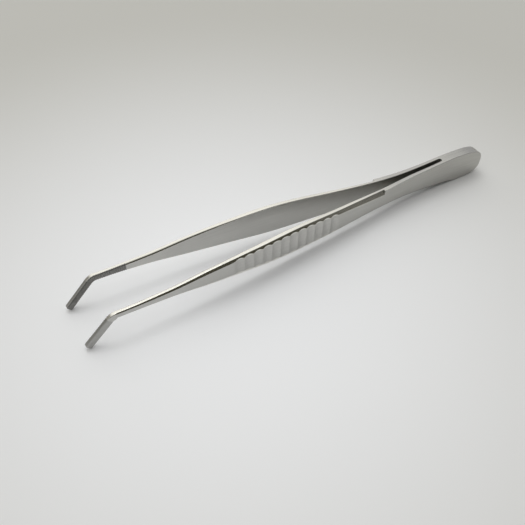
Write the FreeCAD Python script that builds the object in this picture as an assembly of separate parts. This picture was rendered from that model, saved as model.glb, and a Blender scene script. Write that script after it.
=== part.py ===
import FreeCAD, Part
import math
import os

# Print tongs: two bowed spring blades welded together at the butt, with bent-down jaws.
# Every blade is drawn along its own length, measured from the rear of the butt, then the
# whole object is leaned so that it stands on both jaw tips and the butt's lower edge.
# Row frame: millimetres, +Z up, jaws towards -X, blades open along Y.

# Blade, millimetres
REACH = 186.0           # rear of the butt to the start of the jaw bend
BUTT_ROUND = 16.0       # length of the rounded butt end
BUTT_HALF = 6.95        # half the blade's width at the butt
BUTT_POWER = 3.0        # squareness of the butt end: 2 is an ellipse, more is squarer
JAW_HALF = 1.45         # half the blade's width at the bend and along the tip

# Half the blade's width, at distances from the rear of the butt
WIDTH = [(BUTT_ROUND, BUTT_HALF), (36.0, 5.75), (57.0, 4.85), (80.0, 5.65), (107.0, 6.9),
         (128.0, 5.85), (146.0, 4.45), (165.0, 2.35), (REACH, JAW_HALF)]

# Distances of the blade's inner and outer faces from the mid-plane, along the blade
ROWS = [(-5.0, 0.9, 2.45), (14.0, 0.9, 2.45), (26.0, 1.0, 2.55), (40.0, 1.15, 2.95),
        (62.0, 2.85, 5.1), (103.0, 7.05, 9.65), (124.0, 8.5, 11.2), (144.0, 9.3, 11.75),
        (REACH, 10.1, 12.1), (202.0, 9.85, 11.75)]
GAP = [(along, inner) for along, inner, outer in ROWS]
FACE = [(along, outer) for along, inner, outer in ROWS]

# Bent tip
BEND_RADIUS = 4.0       # centre-line radius of the bend
BEND_ANGLE = 46.0       # degrees the tip turns down
TIP_LENGTH = 14.2       # straight tip beyond the bend
TIP_ROUND = 0.6         # corner radius at the tip's end

# Ground bevels along the outer face. Rows: along, the bevel's height, its depth.
BEVEL_START = 58.5      # where the upper bevel starts, with a square step
BEVEL_FADE = 13.0       # where the lower bevel has faded to nothing
UPPER_BEVEL = [(BEVEL_START, 2.2, 1.2), (84.0, 1.5, 1.1), (107.0, 1.25, 1.0),
               (140.0, 1.05, 0.85), (165.0, 0.7, 0.6), (REACH, 0.45, 0.45)]
LOWER_BEVEL = [(BEVEL_FADE, 0.1, 0.1), (20.0, 1.3, 1.0), (BEVEL_START, 1.5, 1.1),
               (84.0, 1.9, 1.3), (104.0, 2.9, 1.9), (130.0, 2.9, 1.9),
               (144.0, 2.4, 1.7), (157.0, 1.8, 1.4), (170.0, 1.2, 1.1), (REACH, 0.7, 0.8)]
BEVEL_STEP = 10.0       # spacing of the sections that carry the bevel cutter
LOWER_SECTIONS = [BEVEL_FADE, 16.0, 20.0, 28.0, 38.0, 48.0]     # those behind the step
OVERCUT = 0.5           # how far a cutter runs on past the surface it cuts
CLEAR = 2.5             # how far a cutter's back stands off the blade

# Finger flutes across the outer face
FLUTES = 12
FLUTE_PITCH = 4.3
FLUTE_FIRST = 87.15     # centre of the flute nearest the butt
FLUTE_CHORD = 4.1       # width of each flute at the face
FLUTE_DEPTH = 0.4

# Butt: each blade has a thick pad there, and the weld joins the two pads
WELD_HALF = 0.35        # half the weld's thickness
SLOT_END = 23.5         # bottom of the slot's rounded end
SLOT_RADIUS = 0.96

# Serrations across the inner face of each jaw
TEETH = 29
TOOTH_PITCH = 0.9
TOOTH_FIRST = -12.0     # first groove, from the start of the bend and towards the butt
TOOTH_WIDTH = 0.7       # width of each groove at the face
TOOTH_DEPTH = 0.22

# Flex line, where each blade bends when it is squeezed
FLEX_AT = 52.0
FLEX_CLEARANCE = 0.05

TALL = 60.0             # taller than any blade, for cutters and extrusions
OUT_DIR = "parts"


def station_slopes(stations):
    """Slope at each station that keeps the curve smooth, with no overshoot."""
    steps = [(b[1] - a[1]) / (b[0] - a[0]) for a, b in zip(stations, stations[1:])]
    inner = [2 * p * q / (p + q) if p * q > 0 else 0.0 for p, q in zip(steps, steps[1:])]
    return [0.0] + inner + [0.0]


def station_poles(stations):
    """Cubic poles of each span between two stations."""
    slopes = station_slopes(stations)
    spans = []
    for i in range(len(stations) - 1):
        (a, p), (b, q) = stations[i], stations[i + 1]
        third = (b - a) / 3
        spans.append([(a, p), (a + third, p + slopes[i] * third),
                      (b - third, q - slopes[i + 1] * third), (b, q)])
    return spans


def station_edges(stations, to_point):
    """The smooth curve through the stations, one edge for each span."""
    edges = []
    for poles in station_poles(stations):
        is_flat = poles[0][1] == poles[-1][1]
        edges.append(span_edge([to_point(along, height) for along, height in poles], is_flat))
    return edges


def station_value(stations, along):
    """Height of the smooth curve through the stations."""
    slopes = station_slopes(stations)
    for i in range(len(stations) - 1):
        (a, p), (b, q) = stations[i], stations[i + 1]
        if a <= along <= b:
            h = b - a
            t = (along - a) / h
            return ((1 + 2 * t) * (1 - t) ** 2 * p + t * (1 - t) ** 2 * h * slopes[i]
                    + t * t * (3 - 2 * t) * q + t * t * (t - 1) * h * slopes[i + 1])
    return stations[0][1] if along < stations[0][0] else stations[-1][1]


def side_point(along, up):
    """A point of the side view: distance from the butt runs towards -X."""
    return FreeCAD.Vector(-along, 0, up)


def plan_point(along, out):
    return FreeCAD.Vector(-along, out, 0)


def line_edge(a, b):
    return Part.LineSegment(a, b).toShape()


def span_edge(points, is_flat):
    """A straight line where both stations are level, so that the face is a true plane."""
    if is_flat:
        return line_edge(points[0], points[-1])
    curve = Part.BezierCurve()
    curve.setPoles(points)
    return curve.toShape()


def arc_edge(a, b, c):
    return Part.Arc(a, b, c).toShape()


def side_edges(sign):
    """One long edge of the side view, from the butt's rear to the tip's corner."""
    turns = 10
    butt = []
    for i in range(turns + 1):
        angle = math.pi / 2 * i / turns
        along = BUTT_ROUND * (1 - math.cos(angle) ** (2 / BUTT_POWER))
        up = BUTT_HALF * math.sin(angle) ** (2 / BUTT_POWER)
        butt.append(side_point(along, sign * up))
    curve = Part.BSplineCurve()
    curve.interpolate(butt)
    edges = [curve.toShape()]
    edges += station_edges(WIDTH, lambda along, half: side_point(along, sign * half))
    radius = BEND_RADIUS + sign * JAW_HALF
    turned = [bend_point(radius, angle) for angle in (0.0, BEND_ANGLE / 2, BEND_ANGLE)]
    edges.append(arc_edge(*turned))
    return edges


def bend_point(radius, angle):
    """A point at a radius about the bend's centre, which lies below the blade."""
    turn = math.radians(angle)
    return side_point(REACH + radius * math.sin(turn), radius * math.cos(turn) - BEND_RADIUS)


def tip_point(along_tip, across):
    """A point on the bent tip: distance past the bend, and height across it."""
    turn = math.radians(BEND_ANGLE)
    foot = bend_point(BEND_RADIUS + across, BEND_ANGLE)
    return foot + FreeCAD.Vector(-math.cos(turn), 0, -math.sin(turn)) * along_tip


def tip_edges():
    """The straight tip and its rounded end, from the top of the bend round to the bottom."""
    r = TIP_ROUND
    k = r * (1 - math.sqrt(0.5))
    top, low, end = JAW_HALF, -JAW_HALF, TIP_LENGTH
    return [
        line_edge(tip_point(0, top), tip_point(end - r, top)),
        arc_edge(tip_point(end - r, top), tip_point(end - k, top - k), tip_point(end, top - r)),
        line_edge(tip_point(end, top - r), tip_point(end, low + r)),
        arc_edge(tip_point(end, low + r), tip_point(end - k, low + k), tip_point(end - r, low)),
        line_edge(tip_point(end - r, low), tip_point(0, low)),
    ]


def side_outline(out_from, out_to):
    """The blade's side view, as a solid between two distances from the mid-plane."""
    edges = side_edges(1) + tip_edges() + side_edges(-1)
    wire = Part.Wire(Part.__sortEdges__(edges))
    face = Part.Face(wire)
    face.translate(FreeCAD.Vector(0, out_from, 0))
    return face.extrude(FreeCAD.Vector(0, out_to - out_from, 0))


def plan_ribbon():
    """The blade's bowed plan view, as a tall solid."""
    inner = station_edges(GAP, plan_point)
    outer = station_edges(FACE, plan_point)
    ends = [line_edge(plan_point(along, near), plan_point(along, far))
            for along, near, far in (ROWS[0], ROWS[-1])]
    face = Part.Face(Part.Wire(Part.__sortEdges__(inner + outer + ends)))
    face.translate(FreeCAD.Vector(0, 0, -TALL / 2))
    return face.extrude(FreeCAD.Vector(0, 0, TALL))


def bevel_section(along, sign):
    """Triangle that removes the outer corner of the blade at one distance from the butt."""
    rows = UPPER_BEVEL if sign > 0 else LOWER_BEVEL
    height = station_value([(place, tall) for place, tall, deep in rows], along)
    depth = station_value([(place, deep) for place, tall, deep in rows], along)
    top = station_value(WIDTH, along)
    face = station_value(FACE, along)
    run = OVERCUT / height
    corners = [(top - height * (1 + run), face + depth * run),
               (top + height * run, face - depth * (1 + run)),
               (top + CLEAR, face + CLEAR)]
    points = [FreeCAD.Vector(-along, out, sign * up) for up, out in corners]
    return Part.makePolygon(points + [points[0]])


def bevel_cutter(sign):
    """Cutter for one long bevel. The upper one starts at once, the lower one fades in."""
    sections = []
    if sign < 0:
        sections += [bevel_section(along, sign) for along in LOWER_SECTIONS]
    along = BEVEL_START
    while along < REACH - BEVEL_STEP / 2:
        sections.append(bevel_section(along, sign))
        along += BEVEL_STEP
    sections.append(bevel_section(REACH, sign))
    return Part.makeLoft(sections, True, False)


def tall_cylinder(radius, along, out):
    return Part.makeCylinder(radius, TALL, FreeCAD.Vector(-along, out, -TALL / 2))


def flute_cutters():
    radius = (FLUTE_CHORD ** 2 / 4 + FLUTE_DEPTH ** 2) / (2 * FLUTE_DEPTH)
    cutters = []
    for i in range(FLUTES):
        along = FLUTE_FIRST + i * FLUTE_PITCH
        face = station_value(FACE, along)
        cutters.append(tall_cylinder(radius, along, face + radius - FLUTE_DEPTH))
    return cutters


def jaw_place(path):
    """Centre-line point and downward turn at a distance past the start of the bend."""
    turned = math.degrees(path / BEND_RADIUS)
    if path < 0:
        return side_point(REACH + path, 0), 0.0
    if turned < BEND_ANGLE:
        return bend_point(BEND_RADIUS, turned), turned
    return tip_point(path - math.radians(BEND_ANGLE) * BEND_RADIUS, 0), BEND_ANGLE


def tooth_cutters():
    """V-shaped grooves across the jaw's inner face, square to its centre line."""
    cutters = []
    slope = TOOTH_DEPTH / (TOOTH_WIDTH / 2)
    wide = TOOTH_WIDTH / 2 + OVERCUT
    for i in range(TEETH):
        point, turn = jaw_place(TOOTH_FIRST + i * TOOTH_PITCH)
        face = station_value(GAP, -point.x)
        corners = [(-wide, -slope * OVERCUT), (0.0, TOOTH_DEPTH), (wide, -slope * OVERCUT)]
        points = [FreeCAD.Vector(along, out, -TALL / 2) for along, out in corners]
        groove = Part.Face(Part.makePolygon(points + [points[0]]))
        groove = groove.extrude(FreeCAD.Vector(0, 0, TALL))
        groove.rotate(FreeCAD.Vector(0, 0, 0), FreeCAD.Vector(0, 1, 0), -turn)
        groove.translate(FreeCAD.Vector(point.x, face, point.z))
        cutters.append(groove)
    return cutters


def slot_end():
    """Round cutter at the bottom of the slot between the blades."""
    return tall_cylinder(SLOT_RADIUS, SLOT_END + SLOT_RADIUS, 0.0)


def butt_slab(out_from, out_to):
    """The part of the butt's outline behind the slot, between two distances out."""
    slab = Part.makeBox(SLOT_END + SLOT_RADIUS, out_to - out_from, TALL,
                        FreeCAD.Vector(-SLOT_END - SLOT_RADIUS, out_from, -TALL / 2))
    return slab.common(side_outline(out_from, out_to)).cut(slot_end())


def whole_blade():
    """The right-hand blade in one piece, before it is parted at the flex line."""
    blade = plan_ribbon().common(side_outline(0.0, TALL))
    blade = biggest(blade.fuse(butt_slab(WELD_HALF, GAP[0][1] + OVERCUT)).removeSplitter())
    blade = blade.cut(bevel_cutter(1)).cut(bevel_cutter(-1))
    return blade.cut(flute_cutters()).cut(tooth_cutters())


def flex_line():
    """Distance from the mid-plane to the middle of the blade at the flex line."""
    return (station_value(GAP, FLEX_AT) + station_value(FACE, FLEX_AT)) / 2


def part_at_flex(blade):
    """Part the blade at the flex line: a round nose on the butt, in a socket on the arm."""
    nose = station_value(FACE, FLEX_AT) - flex_line()
    behind = Part.makeBox(FLEX_AT + TALL, TALL, TALL, FreeCAD.Vector(-FLEX_AT, 0, -TALL / 2))
    pin = tall_cylinder(nose, FLEX_AT, flex_line())
    socket = tall_cylinder(nose + FLEX_CLEARANCE, FLEX_AT, flex_line())
    butt = blade.common(behind.fuse(pin))
    arm = blade.cut(behind).cut(socket)
    return biggest(butt), biggest(arm)


def biggest(shape):
    return max(shape.Solids, key=lambda solid: solid.Volume)


def butt_weld():
    """Weld metal between the two butts; its front end is part of the slot's rounded end."""
    return biggest(butt_slab(-WELD_HALF, WELD_HALF))


def mirrored(shape):
    return shape.mirror(FreeCAD.Vector(0, 0, 0), FreeCAD.Vector(0, 1, 0))


def lean_angle():
    """Lean that brings the tips and the butt's lower edge to one level."""
    tip = tip_point(TIP_LENGTH, -JAW_HALF)
    return math.degrees(math.atan2(-tip.z - BUTT_HALF, -tip.x - BUTT_ROUND))


def build():
    butt, arm = part_at_flex(whole_blade())
    nodes = {
        "left_blade_butt": mirrored(butt),
        "right_blade_butt": butt,
        "butt_weld": butt_weld(),
        "left_arm": mirrored(arm),
        "right_arm": arm,
    }
    lean = lean_angle()
    for shape in nodes.values():
        shape.rotate(FreeCAD.Vector(0, 0, 0), FreeCAD.Vector(0, 1, 0), lean)
    box = FreeCAD.BoundBox()
    for shape in nodes.values():
        box.add(shape.optimalBoundingBox(False))
    shift = FreeCAD.Vector(-box.Center.x, 0, -box.ZMin)
    for shape in nodes.values():
        shape.translate(shift)
    report(nodes, box, lean, shift)
    return nodes


def report(nodes, box, lean, shift):
    """Print the figures that a record of this object needs."""
    turn = math.radians(lean)
    up = FreeCAD.Vector(math.sin(turn), 0, math.cos(turn))
    along = FreeCAD.Vector(-math.cos(turn), 0, math.sin(turn))
    print("size", round(box.XLength, 3), round(box.YLength, 3), round(box.ZLength, 3))
    print("lean", round(lean, 4), "flex axis", [round(c, 6) for c in up])
    flex = along * FLEX_AT + shift
    print("flex point", round(flex.x, 3), round(flex_line(), 3), round(flex.z, 3))
    for name, shape in nodes.items():
        print(name, shape.isValid(), len(shape.Solids), round(shape.Volume, 2))


os.makedirs(OUT_DIR, exist_ok=True)
for node, solid in build().items():
    solid.exportStep("%s/%s.step" % (OUT_DIR, node))
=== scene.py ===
import math

import bmesh
import bpy
import numpy as np
from mathutils import Matrix, Vector


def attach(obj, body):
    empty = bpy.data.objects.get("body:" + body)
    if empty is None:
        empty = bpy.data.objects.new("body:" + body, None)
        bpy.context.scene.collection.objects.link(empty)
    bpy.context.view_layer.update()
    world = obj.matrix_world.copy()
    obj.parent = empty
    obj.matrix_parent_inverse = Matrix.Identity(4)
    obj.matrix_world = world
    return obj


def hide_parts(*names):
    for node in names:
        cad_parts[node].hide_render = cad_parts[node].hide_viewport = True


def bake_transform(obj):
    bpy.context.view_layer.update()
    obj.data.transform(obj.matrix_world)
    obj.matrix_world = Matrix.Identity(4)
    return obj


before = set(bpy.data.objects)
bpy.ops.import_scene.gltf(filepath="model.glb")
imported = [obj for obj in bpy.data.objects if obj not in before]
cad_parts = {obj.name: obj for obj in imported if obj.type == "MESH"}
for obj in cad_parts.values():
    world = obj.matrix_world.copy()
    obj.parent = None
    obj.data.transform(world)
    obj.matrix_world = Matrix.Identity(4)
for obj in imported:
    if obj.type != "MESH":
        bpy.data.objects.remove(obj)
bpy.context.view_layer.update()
scene = bpy.context.scene
MM = 0.001


# ---------------------------------------------------------------- camera
# A short telephoto looking down on the tongs from the side of the left blade, near the jaws.
CAMERA_AZIMUTH = math.radians(-29.68)
CAMERA_ELEVATION = math.radians(45.834)
CAMERA_ROLL = math.radians(-0.172)
CAMERA_DISTANCE = 301.2 * MM
CAMERA_TARGET = Vector((-17.58, 0.14, -5.45)) * MM
CAMERA_LENS = 48.0

back = Vector((
    math.sin(CAMERA_AZIMUTH) * math.cos(CAMERA_ELEVATION),
    -math.cos(CAMERA_AZIMUTH) * math.cos(CAMERA_ELEVATION),
    math.sin(CAMERA_ELEVATION),
))
camera = bpy.data.objects.new("camera", bpy.data.cameras.new("camera"))
scene.collection.objects.link(camera)
camera.data.lens = CAMERA_LENS
camera.data.sensor_width = 36.0
camera.data.clip_start = 0.01
turn = back.to_track_quat("Z", "Y").to_matrix() @ Matrix.Rotation(CAMERA_ROLL, 3, "Z")
camera.matrix_world = Matrix.Translation(CAMERA_TARGET + back * CAMERA_DISTANCE) @ turn.to_4x4()
scene.camera = camera
scene.view_settings.view_transform = "Standard"


# ---------------------------------------------------------------- floor
# A sheet of smooth white card, matt, under daylight. Its colour carries a painted pool of light:
# lightest near the tongs and darker grey towards its edges, in place of the light's falloff.
def linear(hex_colour):
    """sRGB hex to linear: c / 12.92 below 0.04045, else ((c + 0.055) / 1.055) ** 2.4."""
    values = [int(hex_colour[i:i + 2], 16) / 255 for i in (1, 3, 5)]
    return [c / 12.92 if c <= 0.04045 else ((c + 0.055) / 1.055) ** 2.4 for c in values] + [1.0]


def add_node(tree, kind, links=(), **settings):
    """Adds a node. Settings are sockets by index or name when they start with in_, else
    properties. Links are (output socket, name or index of the input it feeds)."""
    node = tree.nodes.new(kind)
    for name, value in settings.items():
        if name.startswith("in_"):
            key = name[3:]
            node.inputs[int(key) if key.isdigit() else key.replace("_", " ")].default_value = value
        else:
            setattr(node, name, value)
    for output, key in links:
        tree.links.new(output, node.inputs[key])
    return node


def new_material(name):
    material = bpy.data.materials.new(name)
    material.use_nodes = True
    material.node_tree.nodes.clear()
    return material, material.node_tree


def surface(tree, shader):
    add_node(tree, "ShaderNodeOutputMaterial", [(shader.outputs[0], "Surface")])


FLOOR_HALF = 1.2
FLOOR_DROP = 0.02 * MM
# PAINTED_LIGHT_MIDDLE and PAINTED_LIGHT_RADIUS place a painted pool of light: the card's colour is
# lightest at the middle and turns darker out to the radius.
PAINTED_LIGHT_MIDDLE = (-0.045, -0.02, 0.0)     # metres, where the card is lightest
PAINTED_LIGHT_RADIUS = 0.26                      # metres, where it has turned to its outer tone
white_card, tree = new_material("white_card_matt")
where = add_node(tree, "ShaderNodeTexCoord")
middle = add_node(tree, "ShaderNodeVectorMath", [(where.outputs["Object"], 0)],
                  operation="DISTANCE")
middle.inputs[1].default_value = PAINTED_LIGHT_MIDDLE
painted_light_share = add_node(tree, "ShaderNodeMapRange", [(middle.outputs["Value"], "Value")],
                  interpolation_type="SMOOTHSTEP")
for key, value in (("From Min", 0.0), ("From Max", PAINTED_LIGHT_RADIUS), ("To Min", 1.0), ("To Max", 0.0)):
    painted_light_share.inputs[key].default_value = value
# Painted light: the colour fades from the lit white at the middle to a darker grey outside.
tone = add_node(tree, "ShaderNodeMix", [(painted_light_share.outputs[0], "Factor")], data_type="RGBA")
tone.inputs[6].default_value = linear("#C7C6C1")
tone.inputs[7].default_value = linear("#F8F9FC")
fibres = add_node(tree, "ShaderNodeTexNoise", [(where.outputs["Object"], "Vector")],
                  in_Scale=900.0, in_Detail=2.0)
relief = add_node(tree, "ShaderNodeBump", [(fibres.outputs["Fac"], "Height")],
                  in_Strength=0.04, in_Distance=0.0001)
card = add_node(tree, "ShaderNodeBsdfPrincipled",
                [(relief.outputs[0], "Normal"), (tone.outputs[2], "Base Color")],
                in_Roughness=0.7)
card.inputs["Specular IOR Level"].default_value = 0.25
surface(tree, card)

floor_mesh = bpy.data.meshes.new("floor")
corners = [(-1, -1), (1, -1), (1, 1), (-1, 1)]
floor_mesh.from_pydata([(x * FLOOR_HALF, y * FLOOR_HALF, -FLOOR_DROP) for x, y in corners],
                       [], [(0, 1, 2, 3)])
floor_mesh.materials.append(white_card)
floor = bpy.data.objects.new("floor", floor_mesh)
scene.collection.objects.link(floor)


# ---------------------------------------------------------------- light
# Window light through a large diffuser above and behind the tongs. The room on the viewer's
# side is dim, which is what darkens every bevel that leans towards it.
def soft_box(name, place, target, width, height, power, colour):
    light = bpy.data.lights.new(name, "AREA")
    light.shape = "RECTANGLE"
    light.size = width
    light.size_y = height
    light.energy = power
    light.color = linear(colour)[:3]
    lamp = bpy.data.objects.new(name, light)
    scene.collection.objects.link(lamp)
    aim = (Vector(place) - Vector(target)).to_track_quat("Z", "Y").to_matrix().to_4x4()
    lamp.matrix_world = Matrix.Translation(place) @ aim
    return lamp


soft_box("diffuser", (0.0, 0.34, 1.0), (0.0, 0.0, 0.0), 0.42, 0.42, 1.45, "#FFFFFF")


def lobe(tree, direction, start, end):
    """Share from 0 to 1 of a soft patch of the room: smoothstep of the dot product."""
    near = add_node(tree, "ShaderNodeVectorMath", [(where.outputs["Generated"], 0)],
                    operation="DOT_PRODUCT")
    near.inputs[1].default_value = Vector(direction).normalized()
    share = add_node(tree, "ShaderNodeMapRange", [(near.outputs["Value"], "Value")],
                     interpolation_type="SMOOTHSTEP")
    for key, value in (("From Min", start), ("From Max", end), ("To Min", 0.0), ("To Max", 1.0)):
        share.inputs[key].default_value = value
    return share


def toned(tree, share, below, colour, strength):
    """Mixes a tone, at a strength, over what lies below it."""
    mixed = add_node(tree, "ShaderNodeMix", [(share.outputs[0], "Factor")] + below,
                     data_type="RGBA")
    mixed.inputs[7].default_value = [strength * c for c in linear(colour)[:3]] + [1.0]
    return mixed


world = bpy.data.worlds.new("room")
scene.world = world
world.use_nodes = True
tree = world.node_tree
tree.nodes.clear()
where = add_node(tree, "ShaderNodeTexCoord")
window = toned(tree, lobe(tree, (0.0, 0.45, 0.89), 0.50, 0.97), [], "#FFFFFB", 1.20)
window.inputs[6].default_value = linear("#D2D2D2")
shade = toned(tree, lobe(tree, (0.10, -0.97, 0.22), 0.45, 0.86), [(window.outputs[2], 6)],
              "#48463C", 1.0)
wall = toned(tree, lobe(tree, (-0.75, 0.58, 0.30), 0.80, 0.97), [(shade.outputs[2], 6)],
             "#94928C", 1.0)
sky = add_node(tree, "ShaderNodeBackground", [(wall.outputs[2], "Color")], in_Strength=1.0)
add_node(tree, "ShaderNodeOutputWorld", [(sky.outputs[0], "Surface")])


# ---------------------------------------------------------------- blades
# Two mirrored spring blades, forged and ground from martensitic stainless steel. Each bows
# out from the butt, carries finger flutes on its grip, and ends in a bent, serrated jaw.
# The two are welded at the butt, where the real blades flex as springs when squeezed; here both
# are built as fixed meshes.
REACH = 186.0           # rear of the butt to the start of the jaw bend, millimetres
BUTT_ROUND = 16.0       # length of the rounded butt end
BUTT_HALF = 6.95
JAW_HALF = 1.45
WIDTH = [(BUTT_ROUND, BUTT_HALF), (36.0, 5.75), (57.0, 4.85), (80.0, 5.65), (107.0, 6.9),
         (128.0, 5.85), (146.0, 4.45), (165.0, 2.35), (REACH, JAW_HALF)]
ROWS = [(-5.0, 0.9, 2.45), (14.0, 0.9, 2.45), (26.0, 1.0, 2.55), (40.0, 1.15, 2.95),
        (62.0, 2.85, 5.1), (103.0, 7.05, 9.65), (124.0, 8.5, 11.2), (144.0, 9.3, 11.75),
        (REACH, 10.1, 12.1), (202.0, 9.85, 11.75)]
GAP = [(along, inner) for along, inner, outer in ROWS]
FACE = [(along, outer) for along, inner, outer in ROWS]
BEND_RADIUS = 4.0
BEND_ANGLE = math.radians(46.0)
TIP_LENGTH = 14.2
TIP_ROUND = 0.6         # corner radius of the tip's end, seen from the side
BEVEL_START = 58.5      # square step where the upper bevel starts
BEVEL_FADE = 13.0       # where the lower bevel has faded to nothing
BEVEL_FULL = 16.0       # where the lower bevel has its full size
UPPER_BEVEL = [(BEVEL_START, 2.2, 1.2), (84.0, 1.5, 1.1), (107.0, 1.25, 1.0),
               (140.0, 1.05, 0.85), (165.0, 0.7, 0.6), (REACH, 0.45, 0.45)]
LOWER_BEVEL = [(BEVEL_FADE, 0.1, 0.1), (20.0, 1.3, 1.0), (BEVEL_START, 1.5, 1.1),
               (84.0, 1.9, 1.3), (104.0, 2.9, 1.9), (130.0, 2.9, 1.9),
               (144.0, 2.4, 1.7), (157.0, 1.8, 1.4), (170.0, 1.2, 1.1), (REACH, 0.7, 0.8)]
EDGE_ROUND = 0.2        # hand-rounded outer edge of the butt
CORNER = 0.1            # broken corners everywhere else
JAW_CORNER = 0.6        # rounder inner corners towards the jaws
JAW_CORNER_START = 110.0
JAW_CORNER_END = 150.0
CORNER_PULL = 0.3       # how far a corner's curve is pulled in from the sharp corner
CORNER_LIMIT = 0.3      # largest corner, as a share of half the width
CREASE = 0.03           # blur of the crease where a flute meets a bevel
TIP_EDGE = 0.2          # broken edges of the bent tip
FLUTES = 12
FLUTE_PITCH = 4.3
FLUTE_FIRST = 87.15
FLUTE_CHORD = 4.1
FLUTE_DEPTH = 0.4
TEETH = 29
TOOTH_PITCH = 0.9
TOOTH_FIRST = -12.0
TOOTH_WIDTH = 0.7
TOOTH_DEPTH = 0.22
WELD_HALF = 0.35        # half the thickness of the weld between the butts
SLOT_END = 23.5         # bottom of the slot's rounded end
SLOT_RADIUS = 0.96
BUTT_ROWS = 31          # rows of the mesh round the butt's end
BUTT_CROWDING = 2.6     # power that crowds those rows towards the rear
BLEND_START = 50.0      # the edges' colour turns from the butt's darker grey to the bright one, a painted highlight
BLEND_END = 74.0
SATIN, GROUND, JAW, TIP = range(4)      # material slots of a blade


def station_curve(stations, along):
    """Smooth curve through the stations: cubic Hermite spans whose slope at each station is
    the harmonic mean of the slopes on both sides, or level where those differ in sign."""
    x, y = np.array(stations, float).T
    steps = np.diff(y) / np.diff(x)
    p, q = steps[:-1], steps[1:]
    rising = p * q > 0
    inner = np.where(rising, 2 * p * q / np.where(rising, p + q, 1.0), 0.0)
    slopes = np.concatenate([[0.0], inner, [0.0]])
    i = np.clip(np.searchsorted(x, along, side="right") - 1, 0, len(x) - 2)
    h = x[i + 1] - x[i]
    t = np.clip((along - x[i]) / h, 0.0, 1.0)
    return ((1 + 2 * t) * (1 - t) ** 2 * y[i] + t * (1 - t) ** 2 * h * slopes[i]
            + t * t * (3 - 2 * t) * y[i + 1] + t * t * (t - 1) * h * slopes[i + 1])


def step_up(value, start, end):
    """Smoothstep: 0 before start, 1 after end, 3 t^2 - 2 t^3 between."""
    t = np.clip((value - start) / (end - start), 0.0, 1.0)
    return t * t * (3 - 2 * t)


def soft_max(a, b, blur):
    """Larger of two heights, with the crease between them rounded over about blur."""
    return (a + b + np.sqrt((a - b) ** 2 + blur ** 2)) / 2


BEND_PATH = BEND_RADIUS * BEND_ANGLE
TIP_PATH = BEND_PATH + TIP_LENGTH


def centre_line(path):
    """Centre line at a distance past the start of the bend: straight, then an arc of the
    bend's radius, then straight. Returns the distance from the butt, the height, the turn."""
    turned = np.clip(path / BEND_RADIUS, 0.0, BEND_ANGLE)
    straight = np.minimum(path, 0.0) + np.maximum(path - BEND_PATH, 0.0)
    along = REACH + BEND_RADIUS * np.sin(turned) + straight * np.cos(turned)
    up = BEND_RADIUS * (np.cos(turned) - 1) - straight * np.sin(turned)
    return along, up, turned


def half_width(path):
    """Half the blade's width: a cubic superellipse at the butt, then the width stations,
    then the rounded corners of the tip's end."""
    along = REACH + path
    butt = BUTT_HALF * (1 - np.clip(1 - along / BUTT_ROUND, 0.0, 1.0) ** 3) ** (1 / 3)
    half = np.where(along < BUTT_ROUND, butt, station_curve(WIDTH, along))
    over = np.clip(path - (TIP_PATH - TIP_ROUND), 0.0, TIP_ROUND)
    return half - TIP_ROUND + np.sqrt(TIP_ROUND ** 2 - over ** 2)


def butt_distance(along, across):
    """Distance in from the outline: (1 - g) / |grad g| with g the superellipse's level at
    the rounded end, and simply half width less |across| beyond it."""
    a = np.clip(1 - along / BUTT_ROUND, 0.0, 1.0)
    b = np.abs(across) / BUTT_HALF
    g = np.maximum((a ** 3 + b ** 3) ** (1 / 3), 1e-6)
    slope = np.sqrt((a * a / (BUTT_ROUND * g * g)) ** 2 + (b * b / (BUTT_HALF * g * g)) ** 2)
    rounded = (1 - g) / np.maximum(slope, 1e-6)
    side = half_width(along - REACH) - np.abs(across)
    return np.maximum(np.where(along < BUTT_ROUND, rounded, side), 0.0)


def flute_depth(along):
    """Concave flutes side by side: each the arc of a circle, its chord across the face."""
    radius = (FLUTE_CHORD ** 2 / 4 + FLUTE_DEPTH ** 2) / (2 * FLUTE_DEPTH)
    nearest = np.clip(np.round((along - FLUTE_FIRST) / FLUTE_PITCH), 0, FLUTES - 1)
    off = np.abs(along - FLUTE_FIRST - nearest * FLUTE_PITCH)
    arc = np.sqrt(np.maximum(radius ** 2 - off ** 2, 0.0)) - (radius - FLUTE_DEPTH)
    return soft_max(arc, 0.0, CREASE) * step_up(FLUTE_CHORD / 2 + 0.6 - off, 0.0, 0.5)


def inner_face(along):
    """Distance of the inner face from the mid-plane: the weld's half thickness at the butt's
    pad, the slot's circle sqrt(r^2 - x^2) at the pad's end, then the smooth bowed face."""
    off = np.clip(SLOT_END + SLOT_RADIUS - along, 0.0, SLOT_RADIUS)
    pad = np.maximum(np.sqrt(SLOT_RADIUS ** 2 - off ** 2), WELD_HALF)
    bowed = station_curve(GAP, along)
    return np.where(along < SLOT_END + SLOT_RADIUS, np.minimum(pad, bowed), bowed)


def tooth_depth(path):
    """V-shaped grooves: depth falls evenly from the groove's middle to its two edges."""
    nearest = np.clip(np.round((path - TOOTH_FIRST) / TOOTH_PITCH), 0, TEETH - 1)
    off = np.abs(path - TOOTH_FIRST - nearest * TOOTH_PITCH)
    return TOOTH_DEPTH * np.clip(1 - off / (TOOTH_WIDTH / 2), 0.0, 1.0)


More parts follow.
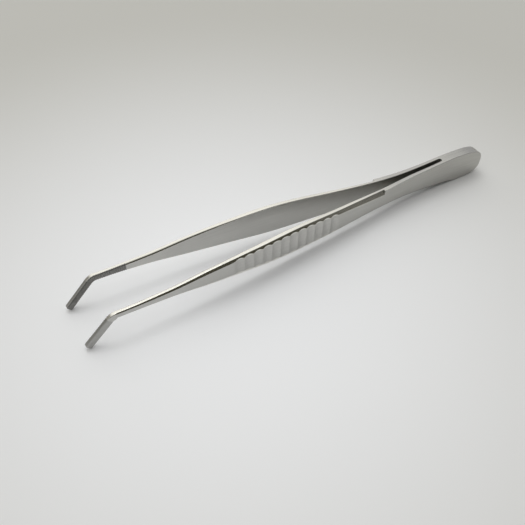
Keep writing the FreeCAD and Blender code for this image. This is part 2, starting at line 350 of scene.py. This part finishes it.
def blade_path():
    """Distances of the mesh's rows: close together at the butt's end, on either side of
    the bevel's step, through the flutes, through the teeth and round the tip's end."""
    ridge = FLUTE_FIRST - FLUTE_PITCH / 2
    last_ridge = ridge + FLUTES * FLUTE_PITCH
    tooth = TOOTH_PITCH * np.array([-0.5, -0.389, -0.2, 0.0, 0.2, 0.389])
    teeth = (TOOTH_FIRST + TOOTH_PITCH * np.arange(TEETH)[:, None] + tooth).ravel()
    end = TIP_PATH - TIP_ROUND
    slot = np.linspace(math.asin(WELD_HALF / SLOT_RADIUS), math.pi / 2, 8)
    return np.concatenate([
        BUTT_ROUND * np.linspace(0.0, 1.0, BUTT_ROWS) ** BUTT_CROWDING - REACH,
        np.arange(BUTT_ROUND + 1.2, SLOT_END, 1.2) - REACH,
        SLOT_END + SLOT_RADIUS * (1 - np.cos(slot)) - REACH,
        np.arange(SLOT_END + 2.0, BEVEL_START - 0.5, 1.2) - REACH,
        BEVEL_START + np.array([-0.06, -0.02, 0.02, 0.06, 0.5]) - REACH,
        np.arange(BEVEL_START + 1.5, ridge - 0.5, 1.2) - REACH,
        np.linspace(ridge, last_ridge, FLUTES * 14 + 1) - REACH,
        np.arange(last_ridge + 1.2, REACH + TOOTH_FIRST - 0.8, 1.2) - REACH,
        teeth[teeth < end - 0.05],
        end + TIP_ROUND * np.sin(np.linspace(0.0, math.pi / 2, 8)),
    ])


def rounded(a, corner, b, steps):
    """Quadratic curve from a to b that bends towards the corner, row by row."""
    t = np.linspace(0.0, 1.0, steps)[None, :]
    return (1 - t) ** 2 * a[:, None] + 2 * t * (1 - t) * corner[:, None] + t * t * b[:, None]


def blade_grid():
    """Closed sections along the blade. Each runs up the inner face, over the top edge, down
    the outer face and under the lower edge. Heights over the outer face are the face less
    the larger of its edge's depth and its flute's depth.
    Returns the points, rows by columns, and which finish each strip of columns has."""
    path = blade_path()
    along0, up0, turned = centre_line(path)
    half = half_width(path)
    station = REACH + np.minimum(path, 0.0)
    at_tip = step_up(path, -0.3, 0.9)
    high, deep = {}, {}
    for sign, rows in ((1, UPPER_BEVEL), (-1, LOWER_BEVEL)):
        for size, column in ((high, 1), (deep, 2)):
            curve = station_curve([(row[0], row[column]) for row in rows], station)
            size[sign] = curve * (1 - at_tip) + TIP_EDGE * at_tip
    ground = {1: step_up(station, BEVEL_START - 0.04, BEVEL_START + 0.04),
              -1: step_up(station, BEVEL_FADE, BEVEL_FULL)}
    broken = CORNER + (JAW_CORNER - CORNER) * step_up(station, JAW_CORNER_START, JAW_CORNER_END)
    broken = broken * step_up(station, SLOT_END + 1.0, SLOT_END + 3.0)
    broken = np.minimum(broken, CORNER_LIMIT * half)

    def outer_dent(across, along, sign):
        """Depth below the face: a quarter round at the butt, a straight bevel beyond it."""
        inside = butt_distance(along, across)
        inside = np.where(path[:, None] > 0, half[:, None] - np.abs(across), inside)
        short = EDGE_ROUND - np.minimum(inside, EDGE_ROUND)
        soft = EDGE_ROUND - np.sqrt(EDGE_ROUND ** 2 - short ** 2)
        bevel = deep[sign][:, None] * (1 - inside / high[sign][:, None])
        k = ground[sign][:, None]
        return soft * (1 - k) + k * soft_max(bevel, 0.0, 0.05)

    def side(sign):
        """The inner corner, the edge and the bevel of one side, from inside to outside."""
        k = ground[sign]
        rim = EDGE_ROUND + (high[sign] - EDGE_ROUND) * k
        rim = np.minimum(rim, 0.97 * half)
        edge = EDGE_ROUND + (deep[sign] - EDGE_ROUND) * k
        crisp = np.minimum(CORNER * k + 0.004, CORNER_LIMIT * half)
        shares = np.array([0.0, 0.03, 0.1, 0.2, 0.34, 0.5, 0.6, 0.7, 0.78, 0.86, 0.93, 1.0])
        across = np.concatenate([
            rounded(half - broken, half - CORNER_PULL * broken, half, 5),
            np.repeat(half[:, None], 2, 1),
            rounded(half, half, half - crisp, 5)[:, :-1],
            half[:, None] - crisp[:, None] - (rim - crisp)[:, None] * shares,
        ], axis=1) * sign
        return across, edge, crisp

    inner = np.array([-1.0, -0.97, -0.6, -0.2, 0.2, 0.6, 0.97, 1.0]) * (half - broken)[:, None]
    outer = np.array([0.97, 0.75, 0.5, 0.25, 0.0, -0.25, -0.5, -0.75, -0.97])
    top_across, top_edge, top_crisp = side(1)
    low_across, low_edge, low_crisp = side(-1)
    middle = top_across[:, -1][:, None]
    lowest = low_across[:, -1][:, None]
    flat = (middle + lowest) / 2 + (middle - lowest) / 2 * outer
    across = np.concatenate([inner[:, 1:-1], top_across, flat, low_across[:, ::-1]], axis=1)
    along = along0[:, None] + across * np.sin(turned)[:, None]
    up = up0[:, None] + across * np.cos(turned)[:, None]
    gap = inner_face(along)
    face = station_curve(FACE, along)
    teeth = tooth_depth(path)[:, None] * np.where(path > TOOTH_FIRST - 0.5, 1.0, 0.0)[:, None]
    base = gap + teeth

    count = inner.shape[1] - 2
    edge_columns = top_across.shape[1]
    out = np.empty_like(across)
    out[:, :count] = base[:, :count]
    flutes = flute_depth(along)
    for sign, first, edge, crisp in ((1, count, top_edge, top_crisp),
                                     (-1, across.shape[1] - edge_columns, low_edge, low_crisp)):
        order = slice(first, first + edge_columns)
        low_base, high_face = base[:, order][:, ::sign], face[:, order][:, ::sign]
        reach, place = across[:, order][:, ::sign], along[:, order][:, ::sign]
        dent = outer_dent(reach, place, sign)
        shell = high_face - soft_max(dent, flutes[:, order][:, ::sign], CREASE)
        rim_out = high_face[:, 5] - edge
        strip = np.empty_like(reach)
        corner = low_base[:, 0] + CORNER_PULL * broken
        strip[:, :5] = rounded(low_base[:, 0], corner, low_base[:, 0] + broken, 5)
        wall = np.array([0.06, 0.94])
        bottom, top = low_base[:, 0] + broken, rim_out - crisp
        strip[:, 5:7] = bottom[:, None] + (top - bottom)[:, None] * wall
        strip[:, 7:11] = rounded(top, rim_out, shell[:, 11], 5)[:, :-1]
        strip[:, 11:] = shell[:, 11:]
        out[:, order] = strip[:, ::sign]
    order = slice(count + edge_columns, across.shape[1] - edge_columns)
    dent_up = outer_dent(across[:, order], along[:, order], 1)
    dent_low = outer_dent(across[:, order], along[:, order], -1)
    dent = np.where(across[:, order] > 0, dent_up, dent_low)
    out[:, order] = face[:, order] - soft_max(dent, flutes[:, order], CREASE)

    closing = 1 - np.sqrt(1 - np.clip((path - TIP_PATH + TIP_ROUND) / TIP_ROUND, 0, 1) ** 2)
    inset = (TIP_EDGE * closing)[:, None]
    centre = (gap + face) / 2
    thick = (face - gap) / 2
    out = centre + (out - centre) * (1 - inset / thick)
    # Edge strips take the ground steel, whose brighter colour is a painted highlight; the faces
    # take the satin steel.
    finish = np.full(across.shape[1], GROUND)
    finish[:count - 1] = SATIN
    finish[-1] = SATIN
    finish[count + edge_columns - 1:across.shape[1] - edge_columns] = SATIN
    return path, np.stack([along, out, up], axis=-1), finish


def lean_angle():
    """Lean that stands the tongs on the tips' lower corners and the butt's lower edge."""
    across = -JAW_HALF
    tip_along, tip_up, turned = (float(v) for v in centre_line(np.array(TIP_PATH)))
    tip_along += across * math.sin(turned)
    tip_up += across * math.cos(turned)
    return math.atan2(-tip_up - BUTT_HALF, tip_along - BUTT_ROUND)


LEAN = lean_angle()
BUTT_REAR = Vector((99.863, 0.0, 6.548))    # rear of the butt's centre line, row frame, mm


def to_row_frame(points, side):
    """Distance from the butt runs towards -X, and the whole object leans about Y.
    side is 1 for the right blade and -1 for the left one."""
    along, out, up = np.moveaxis(points, -1, 0)
    x = BUTT_REAR.x - along * math.cos(LEAN) + up * math.sin(LEAN)
    z = BUTT_REAR.z + along * math.sin(LEAN) + up * math.cos(LEAN)
    return np.stack([x, side * out, z], axis=-1) * MM


def grid_mesh(name, points, path, finish, materials, caps):
    """Closed tube of quads: rows of points along the path, columns round the section. The
    UV map holds the distance along the path and round the section, in metres."""
    rows, columns = points.shape[:2]
    i, j = np.meshgrid(np.arange(rows - 1), np.arange(columns), indexing="ij")
    after = (j + 1) % columns
    quads = np.stack([i * columns + j, i * columns + after, (i + 1) * columns + after,
                      (i + 1) * columns + j], axis=-1).reshape(-1, 4)
    faces = quads.tolist() + [[row * columns + c for c in range(columns)] for row in caps]
    mesh = bpy.data.meshes.new(name)
    mesh.from_pydata(points.reshape(-1, 3), [], faces)
    for material in materials:
        mesh.materials.append(material)
    slots = np.concatenate([finish.ravel(), np.full(len(caps), GROUND)])
    mesh.polygons.foreach_set("material_index", slots.astype(np.int32))
    steps = np.linalg.norm(np.roll(points, -1, axis=1) - points, axis=-1)
    steps = np.median(steps, axis=0)
    girth = np.concatenate([[0.0], np.cumsum(steps)])
    u = np.stack([path[i], path[i], path[i + 1], path[i + 1]], axis=-1) * MM
    v = np.stack([girth[j], girth[j + 1], girth[j + 1], girth[j]], axis=-1)
    flat = np.stack([u, v], axis=-1).reshape(-1, 2)
    layer = mesh.uv_layers.new(name="grain")
    spare = np.zeros((len(mesh.loops) - len(flat), 2))
    layer.data.foreach_set("uv", np.concatenate([flat, spare]).astype(np.float32).ravel())
    shell = bmesh.new()
    shell.from_mesh(mesh)
    bmesh.ops.remove_doubles(shell, verts=shell.verts, dist=1e-7)
    bmesh.ops.recalc_face_normals(shell, faces=shell.faces)
    shell.to_mesh(mesh)
    shell.free()
    mesh.shade_smooth()
    mesh.set_sharp_from_angle(angle=math.radians(28.0))
    return mesh


def steel(name, colour, roughness, line_width, line_depth, butt_colour=None):
    """Stainless steel finished with abrasive belts: streaks along the blade from 2D noise
    that is stretched line length to line width, and slow cloudiness in its roughness. With
    a butt colour, the steel turns from it to its own colour between two distances."""
    material, tree = new_material(name)
    grain = add_node(tree, "ShaderNodeUVMap", uv_map="grain")
    stretch = add_node(tree, "ShaderNodeMapping", [(grain.outputs[0], "Vector")],
                       in_Scale=(1 / (60 * line_width * MM), 1 / (line_width * MM), 1.0))
    lines = add_node(tree, "ShaderNodeTexNoise", [(stretch.outputs[0], "Vector")],
                     noise_dimensions="2D", in_Scale=1.0, in_Detail=3.0, in_Roughness=0.6)
    relief = add_node(tree, "ShaderNodeBump", [(lines.outputs[0], "Height")],
                      in_Strength=1.0, in_Distance=line_depth * MM)
    where = add_node(tree, "ShaderNodeTexCoord")
    cloud = add_node(tree, "ShaderNodeTexNoise", [(where.outputs["Object"], "Vector")],
                     in_Scale=90.0, in_Detail=2.0)
    haze = add_node(tree, "ShaderNodeMapRange", [(cloud.outputs[0], "Value")])
    for key, value in (("From Min", 0.3), ("From Max", 0.7), ("To Min", roughness - 0.03),
                       ("To Max", roughness + 0.03)):
        haze.inputs[key].default_value = value
    tones = []
    for shade in (0.90, 1.10):
        tone = add_node(tree, "ShaderNodeMix", data_type="RGBA")
        for socket, hue in ((6, butt_colour or colour), (7, colour)):
            tone.inputs[socket].default_value = [min(1.0, c * shade)
                                                 for c in linear(hue)[:3]] + [1.0]
        tones.append(tone)
    if butt_colour:
        along = add_node(tree, "ShaderNodeSeparateXYZ", [(grain.outputs[0], 0)])
        turn = add_node(tree, "ShaderNodeMapRange", [(along.outputs["X"], "Value")])
        for key, value in (("From Min", BLEND_START - REACH), ("From Max", BLEND_END - REACH)):
            turn.inputs[key].default_value = value * MM
        for tone in tones:
            tree.links.new(turn.outputs[0], tone.inputs[0])
    streak = add_node(tree, "ShaderNodeMix",
                      [(lines.outputs[0], "Factor"), (tones[0].outputs[2], 6),
                       (tones[1].outputs[2], 7)], data_type="RGBA")
    metal = add_node(tree, "ShaderNodeBsdfPrincipled",
                     [(streak.outputs[2], "Base Color"), (haze.outputs[0], "Roughness"),
                      (relief.outputs[0], "Normal")], in_Metallic=1.0)
    surface(tree, metal)
    return material


# Belt marks are drawn coarser than real ones, which are too fine to show at this size.
# Satin faces: soft grey with lengthwise belt marks that stretch every reflection.
satin_steel = steel("stainless_steel_satin", "#BEBDB9", 0.32, 0.35, 0.010)
# Ground edges and bevels: tighter in roughness, with a brighter colour that is a painted
# highlight, so each one reads as a thin light line. Towards the butt they turn to a darker grey.
ground_steel_painted_highlight = steel("stainless_steel_fine_ground_painted_highlight", "#DAD8D1", 0.22, 0.10, 0.002, "#ACABA8")
# Jaw faces: dull as milled, with a dark colour that is painted shade for the serrations' grooves,
# which sets the serrations off from the blade.
jaw_steel = steel("stainless_steel_jaw_milled_painted_shade", "#83827F", 0.38, 0.12, 0.003)
# Tips: a darker steel, painted shade for the dimmer reflections on the tips, between the satin
# faces and the jaws, with no bright edge.
tip_steel = steel("stainless_steel_tip_painted_shade", "#ACABA8", 0.34, 0.30, 0.006)

path, grid, strips = blade_grid()
is_jaw = (path[:-1] > TOOTH_FIRST - TOOTH_PITCH / 2)[:, None]
INNER_FIRST = 9         # strips of the inner face and its upper corner
INNER_LAST = 5          # strips of its lower corner
is_inner = np.zeros(len(strips), bool)
is_inner[:INNER_FIRST] = True
is_inner[-INNER_LAST:] = True
is_tip = (path[:-1] > BEND_PATH)[:, None] & ~is_inner[None, :]
# Painted shade: the jaw faces and the tips take darker steels; the edges elsewhere keep the ground
# steel's painted highlight.
finish = np.where(is_jaw & is_inner[None, :], JAW, np.where(is_tip, TIP, strips[None, :]))
for side_name, side in (("left", -1), ("right", 1)):
    blade_mesh = grid_mesh(side_name + "_blade", to_row_frame(grid, side), path, finish,
                           [satin_steel, ground_steel_painted_highlight, jaw_steel, tip_steel], [len(path) - 1])
    blade = bpy.data.objects.new(side_name + "_blade", blade_mesh)
    scene.collection.objects.link(blade)
    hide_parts(side_name + "_blade_butt", side_name + "_arm")
    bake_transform(blade)


# ---------------------------------------------------------------- butt weld
# Weld metal that joins the two butts along their inner faces, ground flush with them all
# round. Its front end is the rounded end of the slot between the blades.
WELD_SINK = 0.02        # hairline left between the weld and the blades


def weld_grid():
    """Sections across the weld, from the butt's rear to the slot. Each is a rectangle as
    tall as the blade. Rows near the front follow the slot's circle: r - sqrt(r^2 - y^2)."""
    along = np.concatenate([
        BUTT_ROUND * np.linspace(0.0, 1.0, BUTT_ROWS) ** BUTT_CROWDING,
        np.linspace(BUTT_ROUND + 1, SLOT_END, 9),
    ])
    half = half_width(along - REACH) - WELD_SINK
    half = np.maximum(half, 0.0)
    side = WELD_HALF * np.sin(np.linspace(-math.pi / 2, math.pi / 2, 9))
    across = half[:, None] * np.concatenate([np.ones(9), -np.ones(9)])
    out = np.broadcast_to(np.concatenate([side, side[::-1]]), across.shape)
    bulge = SLOT_RADIUS - np.sqrt(SLOT_RADIUS ** 2 - out ** 2)
    place = along[:, None] + bulge * step_up(along, BUTT_ROUND, SLOT_END)[:, None]
    return along - REACH, np.stack([place, out, across], axis=-1)


weld_path, weld_points = weld_grid()
weld_mesh = grid_mesh("butt_weld_bead", to_row_frame(weld_points, 1), weld_path,
                      np.full((len(weld_path) - 1, weld_points.shape[1]), GROUND),
                      [satin_steel, ground_steel_painted_highlight], [len(weld_path) - 1])
weld = bpy.data.objects.new("butt_weld_bead", weld_mesh)
scene.collection.objects.link(weld)
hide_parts("butt_weld")
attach(weld, "butt")
